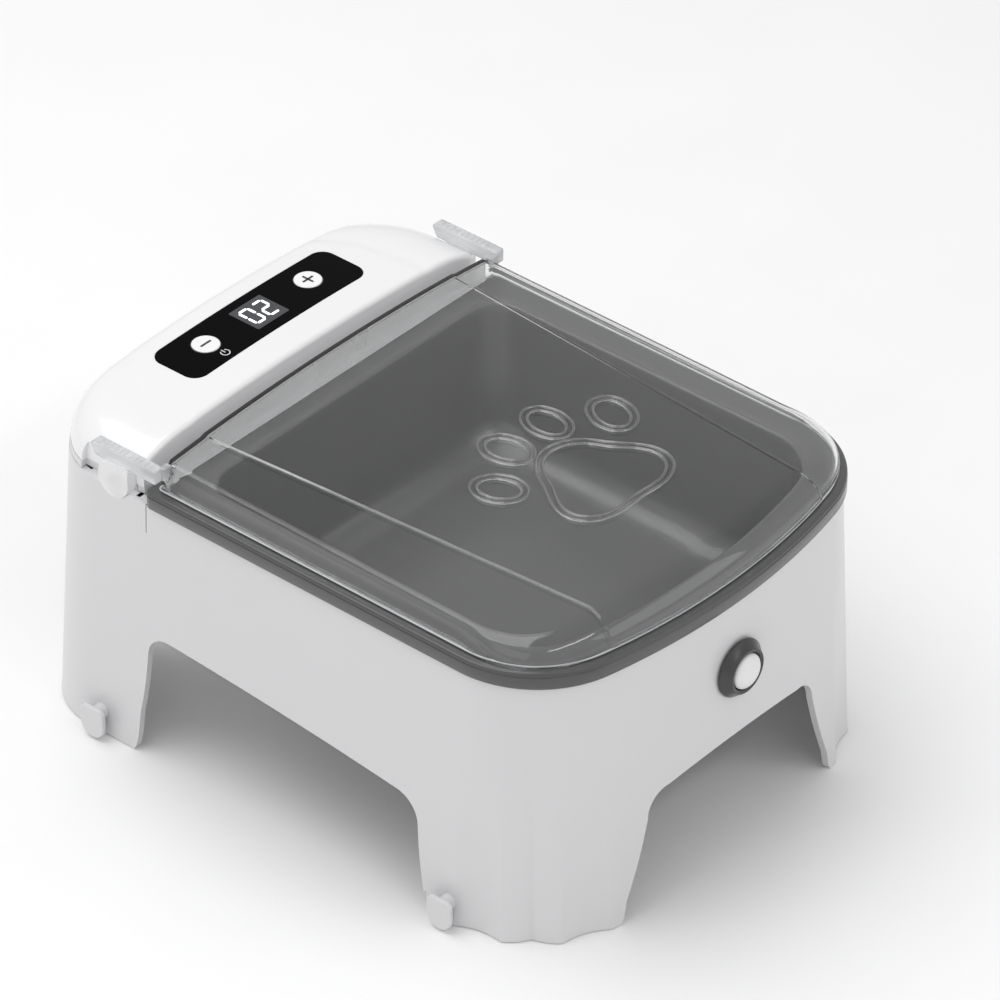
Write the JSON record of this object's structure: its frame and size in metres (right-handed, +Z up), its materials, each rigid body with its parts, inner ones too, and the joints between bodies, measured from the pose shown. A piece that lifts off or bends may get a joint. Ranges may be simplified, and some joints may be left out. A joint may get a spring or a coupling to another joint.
{
  "type": "automatic pet feeder",
  "caption": "Low four-legged pet feeder with a lift-out bowl, a clear motor-opened lid, a control module with display and keys, and a front presence sensor.",
  "frame": {"origin": "on the floor, under the middle of the feeder's bounding box", "axes": "+Z up, -Y towards the front with the presence sensor, +X to the feeder's left as seen from behind it"},
  "size_m": [0.241, 0.3056, 0.1525],
  "materials": {
    "white_shell": "satin",
    "grey_bowl": "satin",
    "clear_lid": "polished",
    "black_panel": "gloss",
    "smoked_window": "gloss",
    "lit_white": "lit",
    "white_key": "satin",
    "steel": "satin",
    "brass": "satin",
    "circuit_board": "satin",
    "natural_plastic": "matte",
    "cell_wrap": "satin",
    "ribbon": "matte"
  },
  "bodies": {
    "stand": {"stand_shell": "white_shell", "bowl": "grey_bowl", "control_cover": "white_shell", "compartment_base": "white_shell", "display_panel": "black_panel", "display_window": "smoked_window", "display_digits": "lit_white", "led_display": "black_panel", "key_switches": "steel", "display_board": "circuit_board", "display_screws": "steel", "main_board": "circuit_board", "controller_chip": "black_panel", "board_sockets": "natural_plastic", "board_screws": "steel", "power_socket": "steel", "battery_cell": "cell_wrap", "battery_holder": "black_panel", "motor": "steel", "motor_screws": "steel", "gear_pins": "steel", "outer_gear_plate": "steel", "inner_gear_plate": "steel", "plate_pillars": "steel", "plate_screws": "steel", "drive_bush": "natural_plastic", "hinge_bush": "natural_plastic", "hinge_bracket": "steel", "bracket_screws": "steel", "position_sensors": "black_panel", "position_board": "circuit_board", "sensor_bezel": "grey_bowl", "sensor_lens": "white_key", "sensor_board": "circuit_board", "sensor_element": "steel", "sensor_screws": "steel", "sensor_ribbon": "ribbon", "cover_screws": "steel", "base_screws": "steel"},
    "lid": {"lid": "clear_lid", "drive_shaft": "steel", "output_gear": "brass", "hinge_pin": "steel", "position_flag": "black_panel"},
    "second_gear": {"second_gear": "natural_plastic"},
    "first_gear": {"first_gear": "natural_plastic"},
    "motor_pinion": {"motor_pinion": "brass"},
    "minus_key": {"minus_key": "white_key"},
    "plus_key": {"plus_key": "white_key"}
  },
  "joints": [
    {"name": "lid_hinge", "type": "hinge", "parent": "stand", "child": "lid", "pos_m": [0, 0.10031, 0.133], "axis": [-1, 0, 0], "range_deg": [0, 62]},
    {"name": "second_gear_turn", "type": "hinge", "parent": "stand", "child": "second_gear", "pos_m": [-0.085, 0.10892, 0.12273], "axis": [-1, 0, 0], "range_deg": [-134.6, 0]},
    {"name": "first_gear_turn", "type": "hinge", "parent": "stand", "child": "first_gear", "pos_m": [-0.085, 0.11267, 0.10873], "axis": [-1, 0, 0], "range_deg": [0, 403.81]},
    {"name": "motor_turn", "type": "hinge", "parent": "stand", "child": "motor_pinion", "pos_m": [-0.085, 0.11031, 0.09534], "axis": [-1, 0, 0], "range_deg": [-1413.32, 0]},
    {"name": "minus_press", "type": "slide", "parent": "stand", "child": "minus_key", "axis": [0, 0, -1], "range_m": [0, 0.0008], "stiffness_N_per_m": 400},
    {"name": "plus_press", "type": "slide", "parent": "stand", "child": "plus_key", "axis": [0, 0, -1], "range_m": [0, 0.0008], "stiffness_N_per_m": 400}
  ],
  "couplings": [
    {"joint": "second_gear_turn", "follows": "lid_hinge", "ratio": -2.1667},
    {"joint": "first_gear_turn", "follows": "lid_hinge", "ratio": 6.5},
    {"joint": "motor_turn", "follows": "lid_hinge", "ratio": -22.75}
  ]
}
